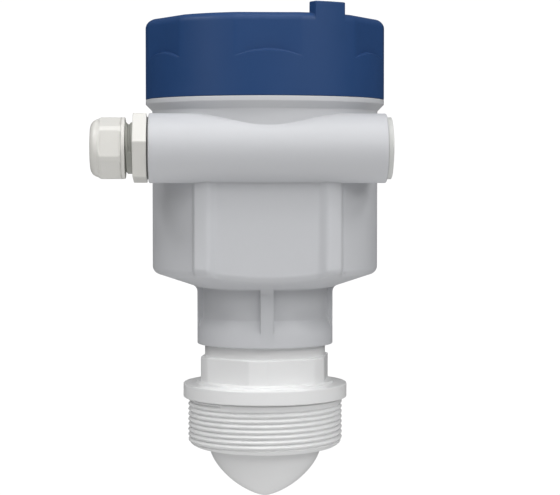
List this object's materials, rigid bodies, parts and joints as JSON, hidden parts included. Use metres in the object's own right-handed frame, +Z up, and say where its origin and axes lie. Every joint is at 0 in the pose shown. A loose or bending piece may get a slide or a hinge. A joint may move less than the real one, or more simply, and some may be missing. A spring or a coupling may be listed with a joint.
{
  "type": "radar level transmitter",
  "caption": "Compact radar level transmitter: screw-lid plastic housing with cable gland and blind plug on a threaded plastic process fitting with an encapsulated horn antenna.",
  "frame": {"origin": "centre of the sealing face under the fitting's flange, on the process thread's axis", "axes": "+Z up along the axis towards the lid, -Z towards the antenna tip, -Y is the front with the cable entry tube, cable gland at -X, blind plug at +X"},
  "size_m": [0.1111, 0.093, 0.1878],
  "materials": {
    "fitting_pvdf": "smooth satin fluoropolymer",
    "housing_plastic": "fine moulded satin, light bluish grey",
    "lid_plastic": "fine moulded satin, dark blue",
    "gland_polyamide": "smooth warm light grey",
    "seal_rubber": "matt black",
    "insert_rubber": "matt dark grey",
    "horn_metal": "turned",
    "shield_metal": "tinned sheet",
    "spring_steel": "spring steel",
    "circuit_board": "green solder mask",
    "connector_gold": "gold plated",
    "cup_plastic": "black moulded",
    "terminal_grey": "grey moulded",
    "button_orange": "orange moulded",
    "contact_copper": "tinned copper",
    "screw_steel": "zinc plated"
  },
  "bodies": {
    "process_fitting": {"process_fitting": "fitting_pvdf", "spigot_o_rings": "seal_rubber", "retaining_ring": "spring_steel", "horn_antenna": "horn_metal", "rf_base": "horn_metal", "rf_board": "circuit_board", "rf_shield": "shield_metal", "rf_snap_ring": "spring_steel", "rf_connector": "connector_gold"},
    "housing": {"housing": "housing_plastic", "rf_lead": "seal_rubber", "electronics_cup": "cup_plastic", "main_board": "circuit_board", "power_board": "circuit_board", "board_pillars": "connector_gold", "terminal_plate": "cup_plastic", "plate_screws": "screw_steel", "terminal_block": "terminal_grey", "terminal_contacts": "contact_copper", "display_socket": "cup_plastic", "ground_strip": "screw_steel", "ground_screw": "screw_steel", "gland_gasket": "seal_rubber", "gland_body": "gland_polyamide"},
    "terminal_button_1": {"terminal_button_1": "button_orange"},
    "terminal_button_2": {"terminal_button_2": "button_orange"},
    "terminal_button_3": {"terminal_button_3": "button_orange"},
    "terminal_button_4": {"terminal_button_4": "button_orange"},
    "lid_seal": {"lid_seal": "seal_rubber"},
    "lid": {"lid": "lid_plastic"},
    "gland_insert": {"gland_insert": "insert_rubber"},
    "gland_cap_nut": {"gland_cap_nut": "gland_polyamide"},
    "plug_seal": {"plug_seal": "seal_rubber"},
    "blind_plug": {"blind_plug": "gland_polyamide"}
  },
  "joints": [
    {"name": "housing_swivel", "type": "hinge", "parent": "process_fitting", "child": "housing", "pos_m": [0, 0, 0.03], "axis": [0, 0, 1], "range_deg": [-165, 165]},
    {"name": "lid_lift", "type": "slide", "parent": "housing", "child": "lid_seal", "axis": [0, 0, 1], "range_m": [0, 0.01201]},
    {"name": "lid_turn", "type": "hinge", "parent": "lid_seal", "child": "lid", "pos_m": [0, 0, 0.13], "axis": [0, 0, 1], "range_deg": [0, 1080]},
    {"name": "gland_travel", "type": "slide", "parent": "housing", "child": "gland_insert", "axis": [-1, 0, 0], "range_m": [-0.00101, 0.00551]},
    {"name": "gland_nut_turn", "type": "hinge", "parent": "gland_insert", "child": "gland_cap_nut", "pos_m": [-0.057, -0.0337, 0.0956], "axis": [-1, 0, 0], "range_deg": [-180, 990]},
    {"name": "plug_travel", "type": "slide", "parent": "housing", "child": "plug_seal", "axis": [1, 0, 0], "range_m": [0, 0.00901]},
    {"name": "plug_turn", "type": "hinge", "parent": "plug_seal", "child": "blind_plug", "pos_m": [0.043, -0.0337, 0.0956], "axis": [1, 0, 0], "range_deg": [0, 2160]},
    {"name": "terminal_press_1", "type": "slide", "parent": "housing", "child": "terminal_button_1", "axis": [0, 0, -1], "range_m": [0, 0.0012], "stiffness_N_per_m": 300, "springref_m": -0.002},
    {"name": "terminal_press_2", "type": "slide", "parent": "housing", "child": "terminal_button_2", "axis": [0, 0, -1], "range_m": [0, 0.0012], "stiffness_N_per_m": 300, "springref_m": -0.002},
    {"name": "terminal_press_3", "type": "slide", "parent": "housing", "child": "terminal_button_3", "axis": [0, 0, -1], "range_m": [0, 0.0012], "stiffness_N_per_m": 300, "springref_m": -0.002},
    {"name": "terminal_press_4", "type": "slide", "parent": "housing", "child": "terminal_button_4", "axis": [0, 0, -1], "range_m": [0, 0.0012], "stiffness_N_per_m": 300, "springref_m": -0.002}
  ],
  "couplings": [
    {"joint": "lid_lift", "follows": "lid_turn", "m_per_rad": 0.00063662},
    {"joint": "gland_travel", "follows": "gland_nut_turn", "m_per_rad": 0.00031831},
    {"joint": "plug_travel", "follows": "plug_turn", "m_per_rad": 0.00023873}
  ]
}
